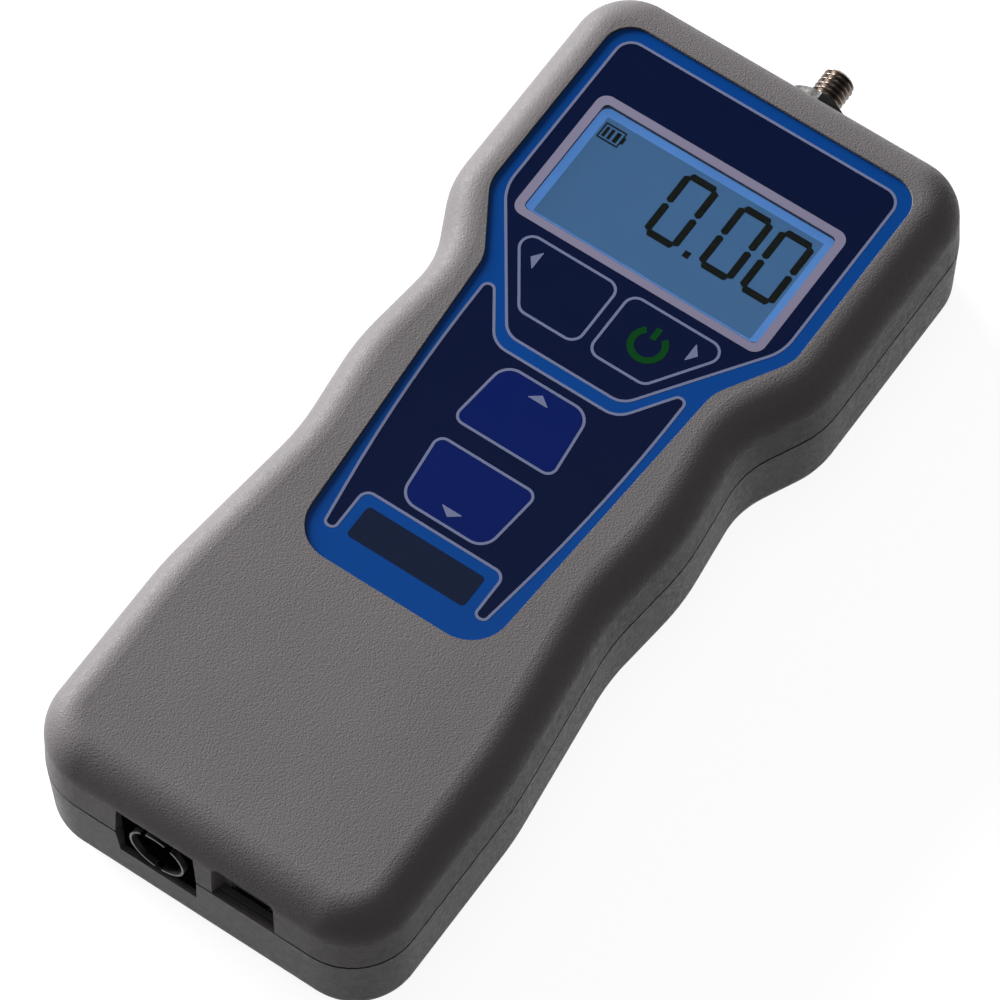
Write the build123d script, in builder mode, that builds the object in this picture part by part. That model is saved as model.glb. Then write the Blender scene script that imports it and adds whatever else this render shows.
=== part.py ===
from build123d import *
import os
from math import cos, radians, tan

os.makedirs("parts", exist_ok=True)

# Hand-held digital force gauge, lying on its back.
# X is the width, +Y points along the measuring shaft, +Z out of the front face.
# The origin is the centre of the mounting hole pattern in the rear face. Lengths are in mm.

# Case outline at the parting line: widths and the stations along Y where the sides turn
case_length = 172.0
head_width = 75.0
neck_width = 61.6
grip_width = 66.0
waist_width = 62.0
base_width = 69.5
head_length = 48.2
shoulder_length = 13.6
neck_length = 19.7
grip_length = 18.5
base_length = 40.0
head_corner_radius = 10.7
shoulder_radius = 18.0
neck_radius = 16.0
grip_radius = 45.0
waist_radius = 40.0
hip_radius = 60.0
base_corner_radius = 11.6

# Case shells: depth, wall, mould draft and edge radii
rear_depth = 17.0
front_depth = 14.0
wall = 2.5
front_draft = 2.5
rear_draft = 2.0
front_edge_radius = 6.5
rear_edge_radius = 4.5
front_inner_radius = 4.0
rear_inner_radius = 2.0
shadow_gap = 0.3
lip_height = 1.5
lip_thickness = 1.0
lip_clearance = 0.1

# Keypad film in its recess, and the clear display window
film_end_gap = 8.0
film_length = 110.7
film_head_side = 7.5
film_neck_side = 8.3
film_foot_side = 12.4
film_shoulder_rise = 1.7
film_neck_rise = 3.1
film_corner_radius = 5.0
film_shoulder_radius = 8.0
film_foot_radius = 7.0
film_thickness = 0.4
recess_depth = 0.9
film_clearance = 0.15
window_width = 46.6
window_height = 24.4
window_end_gap = 34.95
window_corner_radius = 1.6
window_flange = 1.8
window_flange_thickness = 0.8
window_clearance = 0.1

# Keys: outlines on the film, travel and the tact switches under them
upper_key_gap = 3.65
upper_key_height = 12.7
upper_key_inner_x = 1.28
upper_key_foot_x = 12.24
upper_key_tip_x = 21.0
upper_key_radius = 2.0
lower_key_height = 12.8
zero_key_end_gap = 73.17
send_key_end_gap = 90.07
lower_key_wide = 19.4
lower_key_narrow = 17.4
lower_key_small_radius = 1.5
lower_key_large_radius = 3.2
key_clearance = 0.12
key_flange = 0.8
key_flange_thickness = 1.0
key_flange_gap = 0.1
key_travel = 0.4
stem_length = 6.0
stem_width = 4.0
stem_radius = 0.8
upper_switch_x = 9.2
upper_switch_rise = 6.5
switch_size = 6.0
switch_height = 3.5
plunger_radius = 1.75
plunger_clearance = 0.05
plunger_stand = 1.5
plunger_depth = 2.0
switch_floor = 0.8
switch_corner_radius = 0.5

# Main circuit board and its screws
board_thickness = 1.6
board_top_gap = 4.0
board_head_side = 4.0
board_side = 3.3
board_boss_gap = 1.0
board_end_gap = 0.3
board_corner_radius = 1.0
board_step = 4.0
board_screw_radius = 1.2
board_screw_length = 8.0
board_screw_head_radius = 2.5
board_screw_head_height = 1.5
board_boss_radius = 3.0
board_screw_side = 3.0
board_screw_crown_side = 4.6
board_screw_lcd_gap = 1.25
board_screw_neck_drop = 7.7
board_screw_tail_rise = 8.6
screw_play = 0.05
hole_play = 0.2

# Display module
lcd_frame_side = 3.7
lcd_frame_end = 2.5
lcd_frame_wall = 1.2
lcd_leg = 4.0
lcd_shelf = 1.0
lcd_glass_thickness = 2.2
lcd_light_thickness = 3.0
lcd_ceiling_gap = 0.3
lcd_clearance = 0.15

# Case screws, driven from the rear face into the front shell
case_screw_side = 7.5
case_screw_head_end = 9.0
case_screw_base_end = 12.0
case_screw_radius = 1.5
case_screw_head_radius = 2.8
case_screw_head_height = 2.0
case_screw_bore_depth = 6.0
case_screw_bore_radius = 3.1
case_screw_grip = 6.0
case_screw_hole_depth = 9.0
case_boss_radius = 3.8
case_rear_boss_radius = 4.4
case_screw_clearance = 0.3
cross_slot_width = 0.8
cross_slot_length = 3.2
cross_slot_depth = 1.0

# Mounting inserts in the rear face
mount_spacing_x = 50.0
mount_spacing_y = 80.0
insert_radius = 3.0
insert_length = 6.0
insert_bore_radius = 1.65
insert_boss_radius = 4.5
insert_boss_height = 7.5
insert_play = 0.02

# Measuring shaft, hexagon nut and the hole they come out of
shaft_rise = 0.55
shaft_thread_radius = 3.0
shaft_pitch_radius = 2.675
shaft_open_gap = 0.5
shaft_collar_radius = 4.0
shaft_hole_gap = 0.6
shaft_reach = 14.0
collar_reach = 2.5
shaft_tip_chamfer = 0.6
shaft_stud_length = 11.0
collar_gap = 0.3
nut_across_flats = 10.0
nut_thickness = 5.0
nut_face_radius = 4.75
nut_corner_margin = 0.2
nut_chamfer_angle = 30.0
nut_turn = 24.0
thread_play = 0.04

# Load cell on its chassis plate
cell_width = 26.0
cell_length = 48.0
cell_board_gap = 0.9
cell_end_gap = 20.0
cell_foot_length = 16.0
cell_slot = 1.2
cell_slot_offset = 5.0
cell_slot_bridge = 6.0
cell_eye_radius = 3.2
cell_screw_x = 7.0
cell_screw_radius = 2.0
cell_screw_head_radius = 3.5
cell_screw_head_height = 3.0
gauge_length = 4.0
gauge_width = 2.4
gauge_thickness = 0.1
gauge_pitch_x = 11.0
gauge_pitch_y = 5.0
plate_screw_margin = 3.3
plate_length = 28.0
plate_thickness = 2.0
plate_gap = 0.5
plate_corner_radius = 3.0
post_height = 2.0
post_radius = 3.5
plate_screw_radius = 1.25
plate_screw_head_radius = 2.6
plate_screw_head_height = 1.6
plate_screw_length = 5.0
plate_screw_gap = 0.6
plate_screw_inset = 5.0

# Battery pack in its cradle
battery_width = 26.0
battery_thickness = 8.0
battery_radius = 2.5
battery_length = 44.5
battery_cap_length = 4.0
battery_cap_inset = 0.6
battery_end_gap = 15.25
cradle_wall = 1.2
cradle_floor = 0.5
cradle_height = 6.0
cradle_clearance = 0.35

# Round serial socket in the lower end face
serial_x = -7.1
serial_rise = 0.9
serial_opening_width = 15.0
serial_opening_height = 14.0
opening_draft = 0.45
serial_body_width = 14.4
serial_body_height = 13.4
serial_body_depth = 12.0
serial_setback = 1.2
socket_outer_radius = 5.6
socket_core_radius = 4.3
socket_depth = 7.0
shell_radius = 5.3
shell_thickness = 0.4
shell_stand = 0.9
shell_notch_width = 1.3
shell_notch_depth = 1.8
shell_notch_angles = [62.0, 118.0, 270.0]
contact_radius = 0.5
contact_pitch = 2.1
contact_rows = [3, 3, 2]
contact_depth = 5.0
contact_clearance = 0.05
contact_setback = 0.3

# Small USB socket beside it
usb_x = 10.0
usb_opening_width = 12.9
usb_opening_height = 9.2
usb_opening_radius = 1.5
usb_opening_taper = 1.2
usb_width = 7.7
usb_height = 3.9
usb_depth = 9.2
usb_wall = 0.35
usb_chamfer = 1.1
usb_setback = 2.7
usb_back_thickness = 1.2
usb_clearance = 0.15
usb_tongue_width = 4.6
usb_tongue_thickness = 0.8
usb_tongue_setback = 0.8

# Board parts
chip_places = [(-14.0, -42.0, 10.0, 10.0), (8.0, -40.0, 14.0, 14.0), (-12.0, -24.0, 7.0, 5.0), (12.0, -58.0, 8.0, 6.0)]
chip_height = 1.2

# Stiffening ribs inside both shells
rib_thickness = 1.2
rib_height = 1.7
rib_length = 40.0
rib_pitch = 12.0
front_rib_count = 3
front_rib_y = -56.0
rear_rib_count = 2

# Levels and places worked out from the values above
parting_z = rear_depth
front_z = rear_depth + front_depth
ceiling_z = front_z - wall
film_floor_z = front_z - recess_depth
film_top_z = film_floor_z + film_thickness
end_y = case_length / 2
shoulder_y = end_y - head_length
neck_y = shoulder_y - shoulder_length
grip_y = neck_y - neck_length
waist_y = grip_y - grip_length
hip_y = -end_y + base_length
film_top_y = end_y - film_end_gap
film_foot_y = film_top_y - film_length
film_shoulder_y = shoulder_y + film_shoulder_rise
film_neck_y = neck_y + film_neck_rise
film_head_width = head_width - 2 * film_head_side
film_neck_width = neck_width - 2 * film_neck_side
film_foot_width = waist_width - 2 * film_foot_side
window_y = end_y - window_end_gap
lcd_frame_width = window_width + 2 * lcd_frame_side
lcd_frame_height = window_height + 2 * lcd_frame_end
lcd_frame_top_y = window_y + lcd_frame_height / 2
lcd_frame_foot_y = window_y - lcd_frame_height / 2
upper_key_top_y = window_y - window_height / 2 - upper_key_gap
upper_key_foot_y = upper_key_top_y - upper_key_height
upper_switch_y = upper_key_foot_y + upper_switch_rise
zero_key_top_y = end_y - zero_key_end_gap
send_key_top_y = end_y - send_key_end_gap
board_z = parting_z
board_low_z = board_z - board_thickness
board_head_half = head_width / 2 - wall - board_head_side
board_half = min(neck_width, waist_width) / 2 - wall - board_side
board_crown_half = head_width / 2 - case_screw_side - case_rear_boss_radius - board_boss_gap
board_tail_half = base_width / 2 - case_screw_side - case_rear_boss_radius - board_boss_gap
board_tail_y = -end_y + case_screw_base_end + case_rear_boss_radius + board_boss_gap
board_top_screw_y = lcd_frame_top_y + board_screw_lcd_gap + board_boss_radius
board_top_y = board_top_screw_y + board_top_gap
switch_top_z = board_z + switch_height
plunger_top_z = switch_top_z + plunger_stand
key_flange_top_z = ceiling_z - key_flange_gap
key_flange_low_z = key_flange_top_z - key_flange_thickness
plate_low_z = wall + post_height
plate_top_z = plate_low_z + plate_thickness
shaft_z = (wall + board_low_z) / 2 + shaft_rise
shaft_hole_radius = shaft_collar_radius + shaft_hole_gap
cell_thickness = 2 * (board_low_z - cell_board_gap - shaft_z)
cell_end_y = end_y - cell_end_gap
cell_foot_y = cell_end_y - cell_length
plate_screw_x = cell_width / 2 + plate_screw_head_radius + plate_screw_gap
plate_width = 2 * (plate_screw_x + plate_screw_margin)
plate_end_y = cell_foot_y + cell_foot_length - plate_gap
plate_y = plate_end_y - plate_length / 2
cell_low_z = shaft_z - cell_thickness / 2
cell_top_z = shaft_z + cell_thickness / 2
cell_y = cell_foot_y + cell_length / 2
cell_screw_y = cell_foot_y + cell_foot_length / 2
serial_z = parting_z + serial_rise
serial_face_y = -end_y + serial_setback
usb_face_y = -end_y + usb_setback
inner_floor_inset = wall + (rear_depth - wall) * tan(radians(rear_draft))
rear_face_inset = rear_depth * tan(radians(rear_draft))
lcd_top_z = ceiling_z - lcd_ceiling_gap
lcd_glass_z = lcd_top_z - lcd_glass_thickness
lcd_light_z = lcd_glass_z - lcd_light_thickness
shaft_axis = Axis((0, 0, shaft_z), (0, 1, 0))

case_screw_places = [
    (side * (width / 2 - case_screw_side), y)
    for width, y in (
        (head_width, end_y - case_screw_head_end),
        (base_width, -end_y + case_screw_base_end),
    )
    for side in (-1, 1)
]
board_screw_places = [
    (board_crown_half - board_screw_crown_side, board_top_screw_y),
    (board_half - board_screw_side, neck_y - board_screw_neck_drop),
    (board_half - board_screw_side, board_tail_y + board_screw_tail_rise),
]
board_screw_pairs = [(side * x, y) for x, y in board_screw_places for side in (-1, 1)]
mount_grid = GridLocations(mount_spacing_x, mount_spacing_y, 2, 2)
plate_screw_places = [
    (side * plate_screw_x, y)
    for y in (plate_y - plate_length / 2 + plate_screw_inset, plate_end_y - plate_screw_inset)
    for side in (-1, 1)
]
cell_screw_places = [(-cell_screw_x, cell_screw_y), (cell_screw_x, cell_screw_y)]
contact_places = [
    (
        serial_x + (column - (count - 1) / 2) * contact_pitch,
        serial_z + ((len(contact_rows) - 1) / 2 - row) * contact_pitch,
    )
    for row, count in enumerate(contact_rows)
    for column in range(count)
]


def mirrored_outline(points, radii):
    """A closed outline of straight runs and tangent arcs, the same on both sides of the Y axis."""
    left = [(-x, y) for x, y in reversed(points)]
    FilletPolyline(*points, *left, radius=list(radii) + list(reversed(radii)), close=True)


# Plan of the case at the parting line, from the lower end round to the head
with BuildSketch() as case_plan:
    with BuildLine():
        mirrored_outline(
            [
                (base_width / 2, -end_y),
                (base_width / 2, hip_y),
                (waist_width / 2, waist_y),
                (grip_width / 2, grip_y),
                (neck_width / 2, neck_y),
                (head_width / 2, shoulder_y),
                (head_width / 2, end_y),
            ],
            [
                base_corner_radius,
                hip_radius,
                waist_radius,
                grip_radius,
                neck_radius,
                shoulder_radius,
                head_corner_radius,
            ],
        )
    make_face()

# Plan of the keypad film, wide round the display and tapering down the grip
with BuildSketch() as film_plan:
    with BuildLine():
        mirrored_outline(
            [
                (film_foot_width / 2, film_foot_y),
                (film_neck_width / 2, film_neck_y),
                (film_head_width / 2, film_shoulder_y),
                (film_head_width / 2, film_top_y),
            ],
            [film_foot_radius, film_shoulder_radius, film_shoulder_radius, film_corner_radius],
        )
    make_face()

# Plan of the clear part of the display window
with BuildSketch() as window_plan:
    with Locations((0, window_y)):
        RectangleRounded(window_width, window_height, window_corner_radius)

# Key outlines, as the film shows them
with BuildSketch() as power_plan:
    with BuildLine():
        FilletPolyline(
            (upper_key_inner_x, upper_key_foot_y),
            (upper_key_foot_x, upper_key_foot_y),
            (upper_key_tip_x, upper_key_top_y),
            (upper_key_inner_x, upper_key_top_y),
            radius=upper_key_radius,
            close=True,
        )
    make_face()

with BuildSketch() as info_plan:
    mirror(power_plan.sketch, about=Plane.YZ)

with BuildSketch() as zero_plan:
    with BuildLine():
        mirrored_outline(
            [
                (lower_key_wide / 2, zero_key_top_y - lower_key_height),
                (lower_key_narrow / 2, zero_key_top_y),
            ],
            [lower_key_small_radius, lower_key_large_radius],
        )
    make_face()

with BuildSketch() as send_plan:
    with BuildLine():
        mirrored_outline(
            [
                (lower_key_narrow / 2, send_key_top_y - lower_key_height),
                (lower_key_wide / 2, send_key_top_y),
            ],
            [lower_key_large_radius, lower_key_small_radius],
        )
    make_face()

key_plans = {
    "info": info_plan.sketch,
    "power": power_plan.sketch,
    "zero": zero_plan.sketch,
    "send": send_plan.sketch,
}
switch_places = {
    "info": (-upper_switch_x, upper_switch_y),
    "power": (upper_switch_x, upper_switch_y),
    "zero": (0, zero_key_top_y - lower_key_height / 2),
    "send": (0, send_key_top_y - lower_key_height / 2),
}

# Space inside each shell
with BuildPart() as front_cavity:
    with BuildSketch(Plane.XY.offset(parting_z)):
        offset(case_plan.sketch, amount=-wall, mode=Mode.ADD)
    extrude(amount=ceiling_z - parting_z, taper=front_draft)
    fillet(front_cavity.faces().sort_by(Axis.Z)[-1].edges(), front_inner_radius)

with BuildPart() as rear_cavity:
    with BuildSketch(Plane.XY.offset(parting_z)):
        offset(case_plan.sketch, amount=-wall, mode=Mode.ADD)
    with BuildSketch(Plane.XY.offset(wall)):
        offset(case_plan.sketch, amount=-inner_floor_inset, mode=Mode.ADD)
    loft(ruled=True)
    fillet(rear_cavity.faces().sort_by(Axis.Z)[0].edges(), rear_inner_radius)

# Opening for the serial socket, widest at the parting line
with BuildPart() as serial_opening:
    with BuildSketch(Plane.XZ.offset(end_y + 1)):
        with BuildLine():
            Polyline(
                (serial_x - serial_opening_width / 2, serial_z - serial_opening_height / 2),
                (serial_x + serial_opening_width / 2, serial_z - serial_opening_height / 2),
                (serial_x + serial_opening_width / 2 + opening_draft, parting_z),
                (serial_x + serial_opening_width / 2, serial_z + serial_opening_height / 2),
                (serial_x - serial_opening_width / 2, serial_z + serial_opening_height / 2),
                (serial_x - serial_opening_width / 2 - opening_draft, parting_z),
                close=True,
            )
        make_face()
    extrude(amount=-wall - 2)

# Pocket round the small USB socket, narrowing inwards over the wall
with BuildPart() as usb_pocket:
    for depth, inset in ((-1, 0), (wall + lip_clearance, usb_opening_taper)):
        with BuildSketch(Plane.XZ.offset(end_y - depth)):
            with Locations((usb_x, parting_z + shadow_gap)):
                Rectangle(
                    usb_opening_width - 2 * inset,
                    usb_opening_height - inset,
                    align=(Align.CENTER, Align.MIN),
                )
            fillet(vertices().group_by(Axis.Y)[-1], usb_opening_radius)
    loft()

# Front shell: display window, key openings and film recess in its face
with BuildPart() as front_case:
    with BuildSketch(Plane.XY.offset(parting_z + shadow_gap)):
        add(case_plan.sketch)
    extrude(amount=front_depth - shadow_gap, taper=front_draft)
    fillet(front_case.faces().sort_by(Axis.Z)[-1].edges(), front_edge_radius)
    add(front_cavity.part, mode=Mode.SUBTRACT)
    # lip that drops inside the rear shell's rim
    with BuildSketch(Plane.XY.offset(parting_z - lip_height)):
        offset(case_plan.sketch, amount=-(wall - lip_thickness), mode=Mode.ADD)
        offset(case_plan.sketch, amount=-wall, mode=Mode.SUBTRACT)
    extrude(amount=lip_height + shadow_gap)
    # bosses for the case screws and the board screws, and ribs under the face
    with BuildSketch(Plane.XY.offset(parting_z)):
        with Locations(case_screw_places):
            Circle(case_boss_radius)
        with Locations(board_screw_pairs):
            Circle(board_boss_radius)
    extrude(amount=ceiling_z + wall / 2 - parting_z)
    with BuildSketch(Plane.XY.offset(ceiling_z - rib_height)):
        with Locations((0, front_rib_y)):
            with GridLocations(0, rib_pitch, 1, front_rib_count):
                Rectangle(rib_length, rib_thickness)
    extrude(amount=rib_height + wall / 2)
    # wall that closes the small socket's pocket behind, with a slot round the socket
    with BuildSketch(Plane.XZ.offset(end_y - wall)):
        with Locations((usb_x, board_z + usb_clearance)):
            Rectangle(
                usb_opening_width,
                ceiling_z + wall / 2 - board_z - usb_clearance,
                align=(Align.CENTER, Align.MIN),
            )
        with Locations((usb_x, board_z)):
            Rectangle(
                usb_width + 2 * usb_clearance,
                usb_height + usb_clearance,
                align=(Align.CENTER, Align.MIN),
                mode=Mode.SUBTRACT,
            )
    extrude(amount=-usb_back_thickness)
    with Locations([Plane((x, y, parting_z), z_dir=(0, 0, -1)) for x, y in case_screw_places]):
        Hole(case_screw_radius + screw_play, case_screw_hole_depth)
    with Locations([Plane((x, y, parting_z), z_dir=(0, 0, -1)) for x, y in board_screw_pairs]):
        Hole(board_screw_radius + screw_play, board_screw_length)
    # recess for the film, rebate for the window's flange, and the openings through the face
    with BuildSketch(Plane.XY.offset(front_z)):
        offset(film_plan.sketch, amount=film_clearance, mode=Mode.ADD)
    extrude(amount=-recess_depth, mode=Mode.SUBTRACT)
    with BuildSketch(Plane.XY.offset(film_floor_z)):
        offset(window_plan.sketch, amount=window_flange + window_clearance, mode=Mode.ADD)
    extrude(amount=-window_flange_thickness, mode=Mode.SUBTRACT)
    with BuildSketch(Plane.XY.offset(film_floor_z)):
        add(window_plan.sketch)
        for plan in key_plans.values():
            add(plan)
    extrude(amount=-wall, mode=Mode.SUBTRACT)
    add(serial_opening.part, mode=Mode.SUBTRACT)
    add(usb_pocket.part, mode=Mode.SUBTRACT)

front_case.part.label = "front_case"
export_step(front_case.part, "parts/front_case.step")

# Rear shell: floor, rim, screw wells, insert bosses and the hole for the shaft
with BuildPart() as rear_case:
    with BuildSketch(Plane.XY.offset(parting_z)):
        add(case_plan.sketch)
    with BuildSketch(Plane.XY):
        offset(case_plan.sketch, amount=-rear_face_inset, mode=Mode.ADD)
    loft(ruled=True)
    fillet(rear_case.faces().sort_by(Axis.Z)[0].edges(), rear_edge_radius)
    add(rear_cavity.part, mode=Mode.SUBTRACT)
    # step in the rim that takes the front shell's lip
    with BuildSketch(Plane.XY.offset(parting_z)):
        offset(case_plan.sketch, amount=-(wall - lip_thickness - lip_clearance), mode=Mode.ADD)
    extrude(amount=-lip_height, mode=Mode.SUBTRACT)
    # screw wells, insert bosses, posts for the chassis plate and floor ribs
    with BuildSketch(Plane.XY.offset(wall / 2)):
        with Locations(case_screw_places):
            Circle(case_rear_boss_radius)
    extrude(amount=parting_z - wall / 2)
    with BuildSketch(Plane.XY.offset(wall / 2)):
        with mount_grid:
            Circle(insert_boss_radius)
    extrude(amount=insert_boss_height - wall / 2)
    with BuildSketch(Plane.XY.offset(wall / 2)):
        with Locations(plate_screw_places):
            Circle(post_radius)
    extrude(amount=plate_low_z - wall / 2)
    with BuildSketch(Plane.XY.offset(wall / 2)):
        with Locations((0, cell_y)):
            with GridLocations(0, rib_pitch, 1, rear_rib_count):
                Rectangle(rib_length, rib_thickness)
    extrude(amount=wall / 2 + rib_height)
    with Locations([Plane((x, y, 0), z_dir=(0, 0, -1)) for x, y in case_screw_places]):
        CounterBoreHole(
            case_screw_radius + case_screw_clearance,
            case_screw_bore_radius,
            case_screw_bore_depth,
            parting_z,
        )
    with Locations(Plane.XY.rotated((180, 0, 0))):
        with mount_grid:
            Hole(insert_radius + insert_play, insert_length)
    with Locations([(x, y, plate_low_z) for x, y in plate_screw_places]):
        Hole(plate_screw_radius + screw_play, plate_screw_length - plate_thickness)
    with BuildSketch(Plane.XZ.offset(-end_y - 1)):
        with Locations((0, shaft_z)):
            Circle(shaft_hole_radius)
    extrude(amount=wall + 2, mode=Mode.SUBTRACT)
    add(serial_opening.part, mode=Mode.SUBTRACT)

rear_case.part.label = "rear_case"
export_step(rear_case.part, "parts/rear_case.step")

# Film over the front face, cut out for the window and the keys
with BuildPart() as keypad_overlay:
    with BuildSketch(Plane.XY.offset(film_floor_z)):
        add(film_plan.sketch)
        offset(window_plan.sketch, amount=window_clearance, mode=Mode.SUBTRACT)
        for plan in key_plans.values():
            add(plan, mode=Mode.SUBTRACT)
    extrude(amount=film_thickness)

keypad_overlay.part.label = "keypad_overlay"
export_step(keypad_overlay.part, "parts/keypad_overlay.step")

# Clear window: its flange lies in the rebate under the film, its face is flush with the film
with BuildPart() as display_window:
    with BuildSketch(Plane.XY.offset(film_floor_z - window_flange_thickness)):
        offset(window_plan.sketch, amount=window_flange, mode=Mode.ADD)
    extrude(amount=window_flange_thickness)
    with BuildSketch(Plane.XY.offset(film_floor_z)):
        add(window_plan.sketch)
    extrude(amount=film_thickness)

display_window.part.label = "display_window"
export_step(display_window.part, "parts/display_window.step")

# Keys: a cap in the film's opening, a flange behind the face and a stem to the switch
for name, plan in key_plans.items():
    with BuildPart() as key:
        with BuildSketch(Plane.XY.offset(plunger_top_z)):
            with Locations(switch_places[name]):
                RectangleRounded(stem_length, stem_width, stem_radius)
        extrude(amount=key_flange_low_z - plunger_top_z)
        with BuildSketch(Plane.XY.offset(key_flange_low_z)):
            offset(plan, amount=key_flange, mode=Mode.ADD)
        extrude(amount=key_flange_thickness)
        with BuildSketch(Plane.XY.offset(key_flange_top_z)):
            offset(plan, amount=-key_clearance, mode=Mode.ADD)
        extrude(amount=film_top_z - key_flange_top_z)
    key.part.label = f"{name}_key"
    export_step(key.part, f"parts/{name}_key.step")

    # plunger of the tact switch, which the key pushes into the switch body
    with BuildPart() as plunger:
        with BuildSketch(Plane.XY.offset(switch_top_z - plunger_depth)):
            with Locations(switch_places[name]):
                Circle(plunger_radius)
        extrude(amount=plunger_depth + plunger_stand)
    plunger.part.label = f"{name}_plunger"
    export_step(plunger.part, f"parts/{name}_plunger.step")

# Bodies of the tact switches on the board
with BuildPart() as switch_bodies:
    with BuildSketch(Plane.XY.offset(board_z)):
        with Locations(*switch_places.values()):
            RectangleRounded(switch_size, switch_size, switch_corner_radius)
    extrude(amount=switch_height)
    with BuildSketch(Plane.XY.offset(board_z + switch_floor)):
        with Locations(*switch_places.values()):
            Circle(plunger_radius + plunger_clearance)
    extrude(amount=switch_height, mode=Mode.SUBTRACT)

switch_bodies.part.label = "switch_bodies"
export_step(switch_bodies.part, "parts/switch_bodies.step")

# Frame that carries the display over the board, on four legs
with BuildPart() as lcd_frame:
    with BuildSketch(Plane.XY.offset(board_z)):
        with Locations((0, window_y)):
            with GridLocations(lcd_frame_width - lcd_leg, lcd_frame_height - lcd_leg, 2, 2):
                Rectangle(lcd_leg, lcd_leg)
    extrude(amount=lcd_light_z - lcd_shelf - board_z)
    with BuildSketch(Plane.XY.offset(lcd_light_z - lcd_shelf)):
        with Locations((0, window_y)):
            Rectangle(lcd_frame_width, lcd_frame_height)
            Rectangle(lcd_frame_width - 2 * lcd_leg, lcd_frame_height - 2 * lcd_leg, mode=Mode.SUBTRACT)
    extrude(amount=lcd_shelf)
    with BuildSketch(Plane.XY.offset(lcd_light_z)):
        with Locations((0, window_y)):
            Rectangle(lcd_frame_width, lcd_frame_height)
            Rectangle(
                lcd_frame_width - 2 * lcd_frame_wall,
                lcd_frame_height - 2 * lcd_frame_wall,
                mode=Mode.SUBTRACT,
            )
    extrude(amount=lcd_top_z - lcd_light_z)

lcd_frame.part.label = "lcd_frame"
export_step(lcd_frame.part, "parts/lcd_frame.step")

# Backlight guide and the display glass on it
lcd_plate_width = lcd_frame_width - 2 * (lcd_frame_wall + lcd_clearance)
lcd_plate_height = lcd_frame_height - 2 * (lcd_frame_wall + lcd_clearance)

with BuildPart() as lcd_backlight:
    with BuildSketch(Plane.XY.offset(lcd_light_z)):
        with Locations((0, window_y)):
            Rectangle(lcd_plate_width, lcd_plate_height)
    extrude(amount=lcd_light_thickness)

lcd_backlight.part.label = "lcd_backlight"
export_step(lcd_backlight.part, "parts/lcd_backlight.step")

with BuildPart() as lcd_glass:
    with BuildSketch(Plane.XY.offset(lcd_glass_z)):
        with Locations((0, window_y)):
            Rectangle(lcd_plate_width, lcd_plate_height)
    extrude(amount=lcd_glass_thickness)

lcd_glass.part.label = "lcd_glass"
export_step(lcd_glass.part, "parts/lcd_glass.step")

# Main board, notched round the serial socket
with BuildPart() as main_board:
    with BuildSketch(Plane.XY.offset(board_low_z)):
        with BuildLine():
            mirrored_outline(
                [
                    (board_tail_half, -end_y + wall + board_end_gap),
                    (board_tail_half, board_tail_y),
                    (board_half, board_tail_y + board_step),
                    (board_half, lcd_frame_foot_y - board_step),
                    (board_head_half, lcd_frame_foot_y),
                    (board_head_half, lcd_frame_top_y),
                    (board_crown_half, lcd_frame_top_y + board_head_half - board_crown_half),
                    (board_crown_half, board_top_y),
                ],
                [board_corner_radius] * 8,
            )
        make_face()
        with Locations((serial_x, serial_face_y)):
            Rectangle(
                serial_body_width + 2 * board_end_gap,
                2 * (serial_body_depth + board_end_gap),
                mode=Mode.SUBTRACT,
            )
        with Locations(board_screw_pairs):
            Circle(board_screw_radius + hole_play, mode=Mode.SUBTRACT)
    extrude(amount=board_thickness)

main_board.part.label = "main_board"
export_step(main_board.part, "parts/main_board.step")

# Chips on the board
with BuildPart() as board_chips:
    for x, y, width, height in chip_places:
        with BuildSketch(Plane.XY.offset(board_z)):
            with Locations((x, y)):
                Rectangle(width, height)
        extrude(amount=chip_height)

board_chips.part.label = "board_chips"
export_step(board_chips.part, "parts/board_chips.step")

# Screws that hold the board to the front shell's bosses, heads under the board
with BuildPart() as board_screws:
    with BuildSketch(Plane.XY.offset(board_low_z - board_screw_head_height)):
        with Locations(board_screw_pairs):
            Circle(board_screw_head_radius)
    extrude(amount=board_screw_head_height)
    with BuildSketch(Plane.XY.offset(board_low_z)):
        with Locations(board_screw_pairs):
            Circle(board_screw_radius)
    extrude(amount=board_screw_length)

board_screws.part.label = "board_screws"
export_step(board_screws.part, "parts/board_screws.step")

# Case screws in the wells of the rear face, with a cross recess in each head
case_screw_head_z = case_screw_bore_depth - case_screw_head_height

with BuildPart() as case_screws:
    with BuildSketch(Plane.XY.offset(case_screw_head_z)):
        with Locations(case_screw_places):
            Circle(case_screw_head_radius)
    extrude(amount=case_screw_head_height)
    with BuildSketch(Plane.XY.offset(case_screw_bore_depth)):
        with Locations(case_screw_places):
            Circle(case_screw_radius)
    extrude(amount=parting_z - case_screw_bore_depth + case_screw_grip)
    with BuildSketch(Plane.XY.offset(case_screw_head_z)):
        with Locations(case_screw_places):
            Rectangle(cross_slot_length, cross_slot_width)
            Rectangle(cross_slot_width, cross_slot_length)
    extrude(amount=cross_slot_depth, mode=Mode.SUBTRACT)

case_screws.part.label = "case_screws"
export_step(case_screws.part, "parts/case_screws.step")

# Threaded brass inserts for mounting, flush with the rear face
with BuildPart() as mounting_inserts:
    with BuildSketch(Plane.XY):
        with mount_grid:
            Circle(insert_radius)
            Circle(insert_bore_radius, mode=Mode.SUBTRACT)
    extrude(amount=insert_length)

mounting_inserts.part.label = "mounting_inserts"
export_step(mounting_inserts.part, "parts/mounting_inserts.step")

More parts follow.
